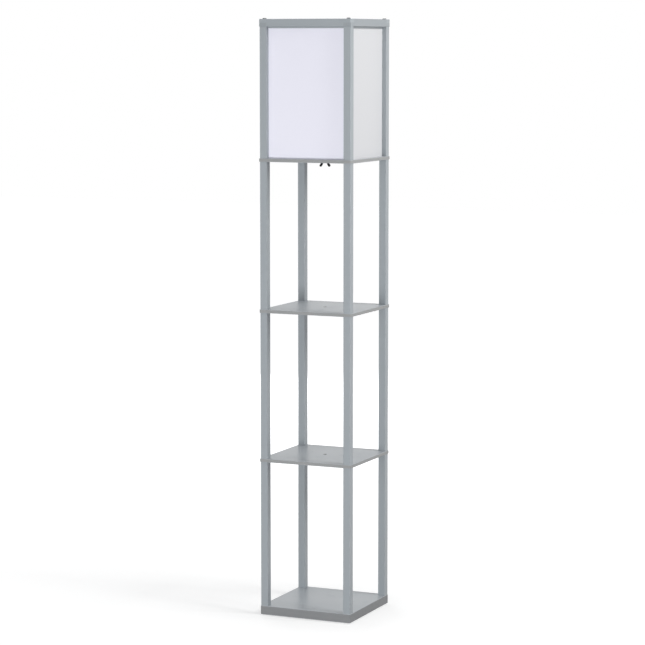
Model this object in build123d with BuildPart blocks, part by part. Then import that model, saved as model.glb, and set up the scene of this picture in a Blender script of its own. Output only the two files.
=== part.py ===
"""Shelf floor lamp: a square tower of posts and boards with a lit box on top.

Four columns of square posts stand on a thick base board. Thin boards lie between
the tiers, and dowel screws join post to post through their corners. The top tier
is the lamp box: grooved corner posts hold four white panels, and a lapped frame of
rails closes the top edge and keeps the middle open. The lampholder stands on the
box's floor, clamped from below by a wing nut.

Units are millimetres. +Z is up, the front faces -Y, and the origin is the centre
of the footprint on the floor.
"""

from build123d import *
from math import sqrt
import os

# ---------------------------------------------------------------- driving sizes

# Boards, all square
board_overhang = 2.0  # shelf boards and the lamp box's floor, beyond the posts' outer faces
board_thickness = 9.0
board_corner_radius = 2.5
board_edge_bevel = 0.7
base_overhang = 1.0
base_thickness = 24.0
base_corner_radius = 1.5
base_edge_bevel = 1.0
centre_hole_diameter = 11.0  # the same drilling in every thin board

# Posts
post_side = 20.0
post_edge_bevel = 0.8
post_spread = 241.0  # from one post axis to the next
tier_height = 393.0  # clear height of each open tier
lamp_box_height = 346.0  # clear height of the lamp box

# Top frame
frame_overhang = 1.0  # beyond the posts' outer faces
rail_height = 20.0
rail_edge_bevel = 0.7
rail_corner_radius = 1.5
lip_setback = 8.5  # behind the post's outer face
lip_thickness = 8.5
lip_drop = 4.5
lip_end_gap = 0.2

# Shade panels
panel_thickness = 1.5
panel_setback = 12.0  # behind the post's outer face
panel_gap = 0.15  # each side of the panel in its groove
panel_edge_gap = 0.5  # beyond the panel's edges in its grooves
post_groove_depth = 5.0

# Feet
pad_diameter = 25.0
pad_thickness = 1.5
pad_inset = 33.5  # from the base's edge to the pad's centre

# Dowel screws, which join post to post through a board
screw_diameter = 6.0
screw_reach = 18.0  # into the post on each side
screw_end_gap = 1.0  # past the screw's upper end
screw_gap = 0.1  # around a screw in a post
board_hole_gap = 0.25  # around a screw in a board or rail

# Socket screws under the base
socket_head_diameter = 10.0
socket_head_height = 6.0
counterbore_gap = 0.75
counterbore_depth = 7.0

# Domed screws through the top frame
dome_diameter = 11.0
dome_height = 2.5
dome_rim_height = 0.6
dome_flat_radius = 3.4

# Lampholder
cap_radius = 20.0
cap_foot_radius = 12.0
cap_foot_height = 2.5
cap_shoulder_radius = 17.5
cap_shoulder_height = 8.5
cap_height = 24.0
cap_wall = 2.0
cap_floor = 4.0
cap_boss_wall = 3.0
cap_boss_height = 9.0
cap_stop_height = 1.0  # the lip that the nipple's end meets
cap_stop_radius = 4.2
cap_ledge_height = 12.0
cap_ledge_width = 2.5
holder_gap = 0.1
block_flange_height = 3.0
block_height = 8.0
skirt_height = 38.0  # above the cap's rim
skirt_wall = 2.2
skirt_bead = 0.8
skirt_bead_height = 4.0
spigot_wall = 1.7
shell_radius = 13.35  # inside the screw shell
shell_wall = 0.4
shell_height = 24.0
shell_flange_width = 1.3
contact_width = 6.0
contact_sheet = 0.5
contact_rise = 4.0
contact_foot = 9.0  # from the axis to the end of the spring's foot
contact_bend = 5.5
contact_top = 3.5
terminal_spacing = 20.0
terminal_head_diameter = 5.0
terminal_head_height = 2.0
terminal_shank_diameter = 3.0
terminal_shank_length = 4.0

# Nipple, washer and wing nut
nipple_diameter = 10.0
nipple_bore = 7.8
nipple_gap = 0.05  # around the nipple in a thread
washer_diameter = 18.0
washer_thickness = 1.5
washer_gap = 0.3
hub_diameter = 16.0
hub_height = 5.5
wing_width = 6.0
wing_thickness = 3.6
wing_edge_bevel = 0.8
wing_root_radius = 6.0  # from the axis to the centre of the wing's root
wing_root_depth = 3.5  # below the hub's clamping face
wing_tip_radius = 11.3
wing_tip_depth = 12.1
wing_turn = 24.0  # degrees about +Z at rest

# Bulb
tip_radius = 4.5
tip_height = 1.5
tip_cone_height = 3.5
tip_cone_step = 3.7  # from the cap's thread in to the tip's cone
bulb_thread_gap = 0.15  # around the cap in the screw shell
cap_screw_height = 18.0
cap_screw_taper = 2.0
bulb_neck_step = 0.8  # from the cap's thread out to the body's neck
bulb_shoulder_step = 3.8
bulb_shoulder_rise = 16.0
bulb_body_height = 43.0
globe_radius = 30.0
globe_sink = 12.0  # from the body's rim up to the globe's centre

# ---------------------------------------------------------------- levels and lines

post_line = post_spread / 2
post_outer = post_line + post_side / 2
post_inner = post_line - post_side / 2
board_width = 2 * (post_outer + board_overhang)
base_width = 2 * (post_outer + base_overhang)
frame_width = 2 * (post_outer + frame_overhang)
corners = [("front_left", -1, -1), ("front_right", 1, -1), ("rear_left", -1, 1), ("rear_right", 1, 1)]
corner_points = [(side * post_line, face * post_line) for _, side, face in corners]

base_top = pad_thickness + base_thickness
lower_shelf_bottom = base_top + tier_height
upper_shelf_bottom = lower_shelf_bottom + board_thickness + tier_height
lamp_board_bottom = upper_shelf_bottom + board_thickness + tier_height
lamp_board_top = lamp_board_bottom + board_thickness
rail_bottom = lamp_board_top + lamp_box_height
rail_top = rail_bottom + rail_height

frame_outer = frame_width / 2
panel_outer = post_outer - panel_setback
panel_inner = panel_outer - panel_thickness
groove_outer = panel_outer + panel_gap
groove_inner = panel_inner - panel_gap
groove_end = post_inner + post_groove_depth

screw_radius = screw_diameter / 2
board_hole_radius = screw_radius + board_hole_gap
post_hole_radius = screw_radius + screw_gap
up = Vector(0, 0, 1)


def keep(builder: BuildPart, label: str) -> None:
    """Labels a finished piece and writes it to its file."""
    builder.part.label = label
    export_step(builder.part, f"parts/{label}.step")


os.makedirs("parts", exist_ok=True)

# ---------------------------------------------------------------- boards

with BuildPart() as base_board:
    with BuildSketch(Plane.XY.offset(pad_thickness)):
        RectangleRounded(base_width, base_width, base_corner_radius)
    extrude(amount=base_thickness)
    chamfer(base_board.edges().filter_by(Axis.Z, reverse=True), base_edge_bevel)
    with Locations(base_board.faces().sort_by(Axis.Z)[0]):
        with Locations(*corner_points):
            CounterBoreHole(
                board_hole_radius, socket_head_diameter / 2 + counterbore_gap, counterbore_depth
            )
keep(base_board, "base_board")


def build_thin_board(label: str, bottom: float) -> None:
    """One thin board, drilled at its corners for dowel screws and at its centre."""
    with BuildPart() as board:
        with BuildSketch(Plane.XY.offset(bottom)):
            RectangleRounded(board_width, board_width, board_corner_radius)
        extrude(amount=board_thickness)
        chamfer(board.edges().filter_by(Axis.Z, reverse=True), board_edge_bevel)
        with Locations(board.faces().sort_by(Axis.Z)[-1]):
            Hole(centre_hole_diameter / 2)
            with Locations(*corner_points):
                Hole(board_hole_radius)
    keep(board, label)


build_thin_board("lower_shelf", lower_shelf_bottom)
build_thin_board("upper_shelf", upper_shelf_bottom)
build_thin_board("lamp_board", lamp_board_bottom)

with BuildPart() as foot_pads:
    with BuildSketch(Plane.XY):
        with GridLocations(base_width - 2 * pad_inset, base_width - 2 * pad_inset, 2, 2):
            Circle(pad_diameter / 2)
    extrude(amount=pad_thickness)
keep(foot_pads, "foot_pads")

# ---------------------------------------------------------------- posts


def build_post(label: str, side: int, face: int, bottom: float, height: float, grooved: bool) -> None:
    """One square post with a drilled end at its foot and its head.

    side is -1 on the left and 1 on the right, and face is -1 at the front and 1 at
    the rear. A lamp box post has one groove for each panel that ends in it.
    """
    with BuildPart() as post:
        with BuildSketch(Plane.XY.offset(bottom)) as post_section:
            with Locations((side * post_line, face * post_line)):
                Rectangle(post_side, post_side)
            chamfer(post_section.vertices(), post_edge_bevel)
            if grooved:
                groove_middle = (groove_outer + groove_inner) / 2
                groove_width = groove_outer - groove_inner
                groove_reach = 2 * post_groove_depth
                with Locations((side * post_inner, face * groove_middle)):
                    Rectangle(groove_reach, groove_width, mode=Mode.SUBTRACT)
                with Locations((side * groove_middle, face * post_inner)):
                    Rectangle(groove_width, groove_reach, mode=Mode.SUBTRACT)
        extrude(amount=height)
        for mouth, depth in ((bottom, screw_reach + screw_end_gap), (bottom + height, -screw_reach)):
            with BuildSketch(Plane.XY.offset(mouth)):
                with Locations((side * post_line, face * post_line)):
                    Circle(post_hole_radius)
            extrude(amount=depth, mode=Mode.SUBTRACT)
    keep(post, label)


tiers = [
    ("lower_post", base_top, tier_height, False),
    ("middle_post", lower_shelf_bottom + board_thickness, tier_height, False),
    ("upper_post", upper_shelf_bottom + board_thickness, tier_height, False),
    ("lamp_post", lamp_board_top, lamp_box_height, True),
]
for tier, bottom, height, grooved in tiers:
    for corner, side, face in corners:
        build_post(f"{tier}_{corner}", side, face, bottom, height, grooved)

# ---------------------------------------------------------------- top frame and panels

outward = {
    "front": Vector(0, -1, 0),
    "rear": Vector(0, 1, 0),
    "left": Vector(-1, 0, 0),
    "right": Vector(1, 0, 0),
}


def elevation(side: str, distance: float, height: float) -> Plane:
    """The plane that faces outward on one side, with its own Y axis up."""
    return Plane(
        origin=outward[side] * distance + up * height,
        x_dir=up.cross(outward[side]),
        z_dir=outward[side],
    )


def build_rail(side: str, lap_on_top: bool) -> None:
    """One rail of the top frame, half lapped over or under its neighbours.

    The rail is cut from the whole rounded frame, so the corners line up. Its lip
    hangs between the lamp posts and is grooved for the panel's top edge.
    """
    lap_low = rail_height / 2 if lap_on_top else 0.0
    with BuildPart() as rail:
        with BuildSketch(Plane.XY.offset(rail_bottom)):
            RectangleRounded(frame_width, frame_width, rail_corner_radius)
            Rectangle(2 * post_inner, 2 * post_inner, mode=Mode.SUBTRACT)
        extrude(amount=rail_height)
        rims = [ring.outer_wire().edges() for ring in rail.faces().filter_by(Axis.Z)]
        chamfer(ShapeList(edge for rim in rims for edge in rim), rail_edge_bevel)
        with BuildSketch(elevation(side, post_inner, rail_bottom)):
            with Locations((0, rail_height / 2)):
                Rectangle(2 * post_inner, rail_height)
            with Locations((0, lap_low + rail_height / 4)):
                Rectangle(frame_width, rail_height / 2)
        extrude(amount=frame_outer - post_inner, mode=Mode.INTERSECT)
        with BuildSketch(elevation(side, post_outer - lip_setback, rail_bottom)):
            with Locations((0, -lip_drop / 2)):
                Rectangle(2 * (post_inner - lip_end_gap), lip_drop)
        extrude(amount=-lip_thickness)
        with BuildSketch(elevation(side, groove_outer, rail_bottom)):
            with Locations((0, -lip_drop / 2)):
                Rectangle(2 * post_inner, lip_drop)
        extrude(amount=groove_inner - groove_outer, mode=Mode.SUBTRACT)
        with Locations(Plane.XY.offset(rail_top)):
            with Locations(*corner_points):
                Hole(board_hole_radius)
    keep(rail, f"top_rail_{side}")


def build_panel(side: str) -> None:
    """One shade panel, standing on the lamp board in the posts' grooves."""
    panel_width = 2 * (groove_end - panel_edge_gap)
    panel_height = lamp_box_height - panel_edge_gap
    with BuildPart() as panel:
        with BuildSketch(elevation(side, panel_inner, lamp_board_top)):
            with Locations((0, panel_height / 2)):
                Rectangle(panel_width, panel_height)
        extrude(amount=panel_thickness)
    keep(panel, f"shade_panel_{side}")


for side in outward:
    build_rail(side, lap_on_top=side in ("front", "rear"))
    build_panel(side)

# ---------------------------------------------------------------- screws

boards_above = [
    ("lower_shelf", lower_shelf_bottom),
    ("upper_shelf", upper_shelf_bottom),
    ("lamp_board", lamp_board_bottom),
]
for board_name, board_bottom in boards_above:
    with BuildPart() as dowel_screws:
        with BuildSketch(Plane.XY.offset(board_bottom - screw_reach)):
            with Locations(*corner_points):
                Circle(screw_radius)
        extrude(amount=board_thickness + 2 * screw_reach)
    keep(dowel_screws, f"{board_name}_dowel_screws")

socket_head_top = pad_thickness + counterbore_depth
socket_head_bottom = socket_head_top - socket_head_height
with BuildPart() as base_screws:
    with BuildSketch(Plane.XY.offset(socket_head_bottom)):
        with Locations(*corner_points):
            Circle(socket_head_diameter / 2)
    extrude(amount=socket_head_height)
    with BuildSketch(Plane.XY.offset(socket_head_top)):
        with Locations(*corner_points):
            Circle(screw_radius)
    extrude(amount=base_top + screw_reach - socket_head_top)
keep(base_screws, "base_screws")

shank_length = rail_height + screw_reach - screw_end_gap
with BuildPart() as top_screws:
    for x, y in corner_points:
        with BuildSketch(Plane(origin=(x, y, rail_top), x_dir=(1, 0, 0), z_dir=(0, -1, 0))):
            with BuildLine():
                Polyline(
                    (0, -shank_length),
                    (screw_radius, -shank_length),
                    (screw_radius, 0),
                    (dome_diameter / 2, 0),
                    (dome_diameter / 2, dome_rim_height),
                    (dome_flat_radius, dome_height),
                    (0, dome_height),
                    close=True,
                )
            make_face()
        revolve(axis=Axis((x, y, rail_top), (0, 0, 1)))
keep(top_screws, "top_screws")

# ---------------------------------------------------------------- lampholder

half_section = Plane(origin=(0, 0, lamp_board_top), x_dir=(1, 0, 0), z_dir=(0, -1, 0))
nipple_radius = nipple_diameter / 2
cap_inner = cap_radius - cap_wall
ledge_inner = cap_inner - cap_ledge_width
boss_bore = nipple_radius + nipple_gap
boss_outer = boss_bore + cap_boss_wall

with BuildPart() as holder_cap:
    with BuildSketch(half_section):
        with BuildLine():
            Polyline(
                (boss_bore, 0),
                (cap_foot_radius, 0),
                (cap_shoulder_radius, cap_foot_height),
                (cap_radius, cap_shoulder_height),
                (cap_radius, cap_height),
                (cap_inner, cap_height),
                (cap_inner, cap_ledge_height),
                (ledge_inner, cap_ledge_height),
                (ledge_inner, cap_floor),
                (boss_outer, cap_floor),
                (boss_outer, cap_boss_height),
                (cap_stop_radius, cap_boss_height),
                (cap_stop_radius, cap_boss_height - cap_stop_height),
                (boss_bore, cap_boss_height - cap_stop_height),
                close=True,
            )
        make_face()
    revolve(axis=Axis.Z)
keep(holder_cap, "holder_cap")

block_bottom = lamp_board_top + cap_ledge_height
block_radius = cap_inner - holder_gap - spigot_wall - holder_gap
with BuildPart() as terminal_block:
    with BuildSketch(Plane.XY.offset(block_bottom)):
        Circle(cap_inner - holder_gap)
    extrude(amount=block_flange_height)
    with BuildSketch(Plane.XY.offset(block_bottom + block_flange_height)):
        Circle(block_radius)
    extrude(amount=block_height - block_flange_height)
    with BuildSketch(Plane.XY.offset(block_bottom)):
        with GridLocations(terminal_spacing, 1, 2, 1):
            Circle(terminal_shank_diameter / 2 + holder_gap)
    extrude(amount=terminal_shank_length + holder_gap, mode=Mode.SUBTRACT)
keep(terminal_block, "terminal_block")

with BuildPart() as terminal_screws:
    with BuildSketch(Plane.XY.offset(block_bottom)):
        with GridLocations(terminal_spacing, 1, 2, 1):
            Circle(terminal_head_diameter / 2)
    extrude(amount=-terminal_head_height)
    with BuildSketch(Plane.XY.offset(block_bottom)):
        with GridLocations(terminal_spacing, 1, 2, 1):
            Circle(terminal_shank_diameter / 2)
    extrude(amount=terminal_shank_length)
keep(terminal_screws, "terminal_screws")

skirt_foot = cap_ledge_height + block_flange_height
spigot_outer = cap_inner - holder_gap
spigot_inner = spigot_outer - spigot_wall
skirt_top = cap_height + skirt_height
skirt_inner = cap_radius - skirt_wall
with BuildPart() as holder_skirt:
    with BuildSketch(half_section):
        with BuildLine():
            Polyline(
                (spigot_inner, skirt_foot),
                (spigot_outer, skirt_foot),
                (spigot_outer, cap_height),
                (cap_radius, cap_height),
                (cap_radius, skirt_top - skirt_bead_height),
                (cap_radius + skirt_bead, skirt_top - skirt_bead_height + skirt_bead),
                (cap_radius + skirt_bead, skirt_top),
                (skirt_inner, skirt_top),
                (skirt_inner, cap_height),
                (spigot_inner, cap_height - (skirt_inner - spigot_inner)),
                close=True,
            )
        make_face()
    revolve(axis=Axis.Z)
keep(holder_skirt, "holder_skirt")

block_top = cap_ledge_height + block_height
with BuildPart() as screw_shell:
    with BuildSketch(half_section):
        with BuildLine():
            Polyline(
                (shell_radius, block_top),
                (shell_radius + shell_wall + shell_flange_width, block_top),
                (shell_radius + shell_wall + shell_flange_width, block_top + shell_wall),
                (shell_radius + shell_wall, block_top + shell_wall),
                (shell_radius + shell_wall, block_top + shell_height),
                (shell_radius, block_top + shell_height),
                close=True,
            )
        make_face()
    revolve(axis=Axis.Z)
keep(screw_shell, "screw_shell")

with BuildPart() as centre_contact:
    with BuildSketch(half_section):
        with BuildLine():
            Polyline(
                (-contact_foot, block_top),
                (-contact_bend, block_top),
                (-contact_top, block_top + contact_rise - contact_sheet),
                (contact_top, block_top + contact_rise - contact_sheet),
                (contact_top, block_top + contact_rise),
                (-contact_top - contact_sheet / 2, block_top + contact_rise),
                (-contact_bend - contact_sheet / 2, block_top + contact_sheet),
                (-contact_foot, block_top + contact_sheet),
                close=True,
            )
        make_face()
    extrude(amount=contact_width / 2, both=True)
keep(centre_contact, "centre_contact")

# ---------------------------------------------------------------- nipple, washer and wing nut

nipple_top = lamp_board_top + cap_boss_height - cap_stop_height
nipple_bottom = lamp_board_bottom - washer_thickness - hub_height
with BuildPart() as nipple:
    with BuildSketch(Plane.XY.offset(nipple_bottom)):
        Circle(nipple_radius)
        Circle(nipple_bore / 2, mode=Mode.SUBTRACT)
    extrude(amount=nipple_top - nipple_bottom)
keep(nipple, "nipple")

with BuildPart() as washer:
    with BuildSketch(Plane.XY.offset(lamp_board_bottom - washer_thickness)):
        Circle(washer_diameter / 2)
        Circle(nipple_radius + washer_gap, mode=Mode.SUBTRACT)
    extrude(amount=washer_thickness)
keep(washer, "washer")

nut_face = lamp_board_bottom - washer_thickness
wing_line = Vector(1, 0, 0).rotate(Axis.Z, wing_turn)
wing_section = Plane(origin=(0, 0, nut_face), x_dir=wing_line, z_dir=wing_line.cross(up))
with BuildPart() as wing_nut:
    with BuildSketch(wing_section):
        for wing in (-1, 1):
            wing_tip = Vector(wing * wing_tip_radius, -wing_tip_depth)
            wing_root = Vector(wing * wing_root_radius, -wing_root_depth)
            SlotCenterPoint((wing_root + wing_tip) / 2, wing_tip, wing_width)
    extrude(amount=wing_thickness / 2, both=True)
    chamfer(wing_nut.edges(), wing_edge_bevel)
    with BuildSketch(Plane.XY.offset(nut_face)):
        Circle(hub_diameter / 2)
    extrude(amount=-hub_height)
    with Locations(Plane.XY.offset(nut_face)):
        Hole(nipple_radius + nipple_gap)
keep(wing_nut, "wing_nut")

# ---------------------------------------------------------------- bulb

tip_bottom = lamp_board_top + block_top + contact_rise
cap_screw_radius = shell_radius - bulb_thread_gap
tip_cone_radius = cap_screw_radius - tip_cone_step
bulb_neck_radius = cap_screw_radius + bulb_neck_step
bulb_shoulder_radius = cap_screw_radius + bulb_shoulder_step
cap_screw_bottom = tip_height + tip_cone_height
body_bottom = cap_screw_bottom + cap_screw_height
body_top = body_bottom + bulb_body_height
globe_middle = body_top + globe_sink
rim_radius = sqrt(globe_radius**2 - globe_sink**2)
bulb_section = Plane(origin=(0, 0, tip_bottom), x_dir=(1, 0, 0), z_dir=(0, -1, 0))

with BuildPart() as bulb_tip:
    with BuildSketch(bulb_section):
        with BuildLine():
            Polyline(
                (0, 0),
                (tip_radius, 0),
                (tip_radius, tip_height),
                (tip_cone_radius, cap_screw_bottom),
                (0, cap_screw_bottom),
                close=True,
            )
        make_face()
    revolve(axis=Axis.Z)
keep(bulb_tip, "bulb_tip")

with BuildPart() as bulb_cap:
    with BuildSketch(bulb_section):
        with BuildLine():
            Polyline(
                (0, cap_screw_bottom),
                (tip_cone_radius, cap_screw_bottom),
                (cap_screw_radius, cap_screw_bottom + cap_screw_taper),
                (cap_screw_radius, body_bottom),
                (0, body_bottom),
                close=True,
            )
        make_face()
    revolve(axis=Axis.Z)
keep(bulb_cap, "bulb_cap")

with BuildPart() as bulb_body:
    with BuildSketch(bulb_section):
        with BuildLine():
            Polyline(
                (0, body_bottom),
                (bulb_neck_radius, body_bottom),
                (bulb_shoulder_radius, body_bottom + bulb_shoulder_rise),
                (rim_radius, body_top),
                (0, body_top),
                close=True,
            )
        make_face()
    revolve(axis=Axis.Z)
keep(bulb_body, "bulb_body")

with BuildPart() as bulb_globe:
    with BuildSketch(bulb_section):
        with BuildLine():
            Line((0, body_top), (rim_radius, body_top))
            ThreePointArc(
                (rim_radius, body_top), (globe_radius, globe_middle), (0, globe_middle + globe_radius)
            )
            Line((0, globe_middle + globe_radius), (0, body_top))
        make_face()
    revolve(axis=Axis.Z)
keep(bulb_globe, "bulb_globe")
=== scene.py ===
"""Looks of the shelf floor lamp: finishes, turned and moulded small parts, studio and camera.

Lengths are metres in the lamp's own frame: +Z up, the front faces -Y, and the origin is
on the floor, under the middle of the base. Only profiles are written in millimetres.
"""

import logging
import math
from dataclasses import dataclass
from enum import Enum
from typing import Callable, Sequence

import bmesh
import bpy
from mathutils import Matrix, Vector


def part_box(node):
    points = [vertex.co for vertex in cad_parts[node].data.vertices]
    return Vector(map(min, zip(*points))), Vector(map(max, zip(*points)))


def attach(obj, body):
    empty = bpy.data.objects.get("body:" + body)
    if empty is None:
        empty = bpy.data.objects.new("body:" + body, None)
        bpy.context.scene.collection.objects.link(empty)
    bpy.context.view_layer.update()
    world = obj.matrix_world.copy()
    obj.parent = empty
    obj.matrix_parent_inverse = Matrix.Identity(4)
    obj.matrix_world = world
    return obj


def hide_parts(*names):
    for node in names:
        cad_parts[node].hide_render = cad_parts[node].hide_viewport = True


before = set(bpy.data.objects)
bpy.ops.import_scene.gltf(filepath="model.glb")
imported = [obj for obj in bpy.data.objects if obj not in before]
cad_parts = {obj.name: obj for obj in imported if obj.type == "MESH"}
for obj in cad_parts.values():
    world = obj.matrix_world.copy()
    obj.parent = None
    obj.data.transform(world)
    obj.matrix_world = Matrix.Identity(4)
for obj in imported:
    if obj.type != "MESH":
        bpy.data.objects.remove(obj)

Colour = tuple[float, float, float]
Point = tuple[float, float, float]
Range = tuple[float, float]
Profile = tuple[tuple[float, float], ...]
Material = bpy.types.Material
Mesh = bmesh.types.BMesh
Node = bpy.types.Node
Socket = bpy.types.NodeSocket
Tree = bpy.types.NodeTree

MM = 0.001
FULL_TURN = 2 * math.pi
QUARTER_TURN = math.pi / 2
ORIGIN = Vector()

# The sharpest edge, in degrees, that is still shaded smooth.
PLAIN_EDGE = 35.0
CAST_EDGE = 50.0
THREAD_EDGE = 60.0

log = logging.getLogger("floor_lamp")


class Grain(Enum):
    """The direction in which the brush or the saw ran."""

    ALONG_X = (0.02, 1.0, 1.0)
    ALONG_Y = (1.0, 0.02, 1.0)
    ALONG_Z = (1.0, 1.0, 0.02)
    NONE = (1.0, 1.0, 1.0)


class Outline(Enum):
    """The outline of a turned part's ring, seen along its axis."""

    ROUND = "round"
    HEX = "hex"
    FLUTED = "fluted"


# ---------------------------------------------------------------- finishes


def shade(colour: Colour, share: float) -> Colour:
    """Gives a colour made darker or lighter by a share."""
    return tuple(min(1.0, part * share) for part in colour)


def add(tree: Tree, kind: str, inputs: dict[str | int, object], **options: str) -> Node:
    """Adds a shader node.

    Args:
        tree: The tree that it goes into.
        kind: Its type, without the leading ShaderNode.
        inputs: Plain values, or the sockets to link, by the input's name or number.
        options: The node's own options.

    Returns:
        The node.
    """
    node = tree.nodes.new(f"ShaderNode{kind}")
    for name, value in options.items():
        setattr(node, name, value)
    for name, value in inputs.items():
        if isinstance(value, Socket):
            tree.links.new(value, node.inputs[name])
        else:
            node.inputs[name].default_value = value
    return node


@dataclass(frozen=True)
class Noise:
    """A noise field of a finish, and what it does there.

    It has its blotches in a metre and its octaves of finer noise, the shares of the colour
    where it is low and high, and a relief: the height in metres and the share that shows.
    """

    scale: float
    detail: float = 3.0
    tones: Range = (1.0, 1.0)
    height: float = 0.0
    strength: float = 0.0


class Painter:
    """Builds one node material around a principled shader."""

    noise_middle: Range = (0.3, 0.7)
    worn_share: Range = (-0.9, 0.35)
    level_slope: float = 0.5

    # The Mix node's sockets by number: its share, its two colours and its result.
    mix_sockets: tuple[int, ...] = (0, 6, 7, 2)

    def __init__(self, name: str, metallic: float = 0.0) -> None:
        """Starts the material.

        Args:
            name: The material's name.
            metallic: 1 for bare or plated metal, 0 for everything else.
        """
        self.material = bpy.data.materials.new(name)
        self.material.use_nodes = True
        self.tree = self.material.node_tree
        self.shader = self.tree.nodes["Principled BSDF"]
        self.shader.inputs["Metallic"].default_value = metallic
        self.place = add(self.tree, "TexCoord", {}).outputs["Object"]

    def set(self, **values: float) -> None:
        """Sets plain values on the shader's own sockets, named with underscores for spaces."""
        for name, value in values.items():
            self.shader.inputs[name.replace("_", " ")].default_value = value

    def feed(self, name: str, source: Socket) -> None:
        """Links a field that varies over the surface to the shader's named socket."""
        self.tree.links.new(source, self.shader.inputs[name])

    def noise(self, noise: Noise, grain: Grain = Grain.NONE) -> Socket:
        """Adds a noise field.

        Args:
            noise: The noise.
            grain: The direction that its blotches are drawn out along.

        Returns:
            The socket of the field, from 0 to 1.
        """
        drawn = {"Vector": self.place, "Scale": grain.value}
        place = add(self.tree, "Mapping", drawn).outputs[0]
        form = {"Vector": place, "Scale": noise.scale, "Detail": noise.detail}
        return add(self.tree, "TexNoise", form).outputs["Fac"]

    def spread(self, field: Socket, low: float, high: float) -> Socket:
        """Maps the middle of a noise field to a range.

        Args:
            field: The noise.
            low: The value where the noise is low.
            high: The value where it is high.

        Returns:
            The socket of the mapped value.
        """
        names = ("Value", "From Min", "From Max", "To Min", "To Max")
        values = (field, *self.noise_middle, low, high)
        return add(self.tree, "MapRange", dict(zip(names, values))).outputs["Result"]

    def blend(self, share: Socket, first: Colour | Socket, second: Colour | Socket) -> Socket:
        """Mixes two colours by a share.

        Args:
            share: 0 gives the first colour and 1 the second.
            first: A colour, or the socket of one.
            second: A colour, or the socket of one.

        Returns:
            The socket of the mixed colour.
        """
        *places, result = self.mix_sockets
        full = [(*part, 1.0) if isinstance(part, tuple) else part for part in (first, second)]
        inputs = dict(zip(places, (share, *full)))
        return add(self.tree, "Mix", inputs, data_type="RGBA").outputs[result]

    def tones(self, field: Socket, noise: Noise, colour: Colour) -> Socket:
        """Lets a colour drift along a field, between the two tones of the field's noise."""
        dark, light = noise.tones
        return self.blend(field, shade(colour, dark), shade(colour, light))

    def rubbed(self, noise: Noise, grain: Grain = Grain.NONE) -> Socket:
        """Gives spots that handling rubbed dull, from 0 to about a third."""
        return self.spread(self.noise(noise, grain), *self.worn_share)

    def bump(self, field: Socket, noise: Noise) -> None:
        """Adds a field's relief on top of any that is already there.

        Args:
            field: The field.
            noise: The noise that it is made of, with its relief.
        """
        inputs = {"Height": field, "Distance": noise.height, "Strength": noise.strength}
        normal = self.shader.inputs["Normal"]
        if normal.is_linked:
            inputs["Normal"] = normal.links[0].from_socket
        self.feed("Normal", add(self.tree, "Bump", inputs).outputs["Normal"])

    def flatness(self) -> Socket:
        """Tells level faces from upright ones.

        Returns:
            The socket that is 1 on faces that look up or down, and 0 on upright ones.
        """
        normal = add(self.tree, "NewGeometry", {}).outputs["True Normal"]
        rise = add(self.tree, "SeparateXYZ", {0: normal}).outputs["Z"]
        size = add(self.tree, "Math", {0: rise}, operation="ABSOLUTE").outputs[0]
        steep = {0: size, 1: self.level_slope}
        return add(self.tree, "Math", steep, operation="GREATER_THAN").outputs[0]


@dataclass(frozen=True)
class SatinPaint:
    """Sprayed satin paint over sanded wood, with a little of the grain still in it."""

    name: str
    colour: Colour
    grain: Grain
    roughness: Range = (0.37, 0.48)
    worn_roughness: float = 0.58
    worn_tone: float = 1.1
    coat: float = 0.06
    coat_roughness: float = 0.3
    clouds: Noise = Noise(7.0, 2.0, (0.96, 1.04))
    streaks: Noise = Noise(260.0, 4.0, (0.93, 1.06), 0.05 * MM, 0.35)
    patches: Noise = Noise(3.0, 1.0)
    patch_share: Range = (0.3, 0.6)
    rubs: Noise = Noise(55.0, 6.0)
    peel: Noise = Noise(900.0, 2.0, height=0.03 * MM, strength=0.3)

    def material(self) -> Material:
        """Builds the paint's material.

        Returns:
            The material.
        """
        paint = Painter(self.name)
        paint.set(Coat_Weight=self.coat, Coat_Roughness=self.coat_roughness)
        clouds = paint.noise(self.clouds)
        streaks = paint.noise(self.streaks, self.grain)
        body = paint.tones(clouds, self.clouds, self.colour)
        fine = paint.tones(streaks, self.streaks, self.colour)
        patches = paint.spread(paint.noise(self.patches), *self.patch_share)
        sanded = paint.blend(patches, body, fine)
        rubbed = paint.rubbed(self.rubs, self.grain)
        paint.feed("Base Color", paint.blend(rubbed, sanded, shade(self.colour, self.worn_tone)))
        satin = paint.spread(clouds, *self.roughness)
        paint.feed("Roughness", paint.blend(rubbed, satin, (self.worn_roughness,) * 3))
        paint.bump(streaks, self.streaks)
        paint.bump(paint.noise(self.peel), self.peel)
        return paint.material


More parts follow.
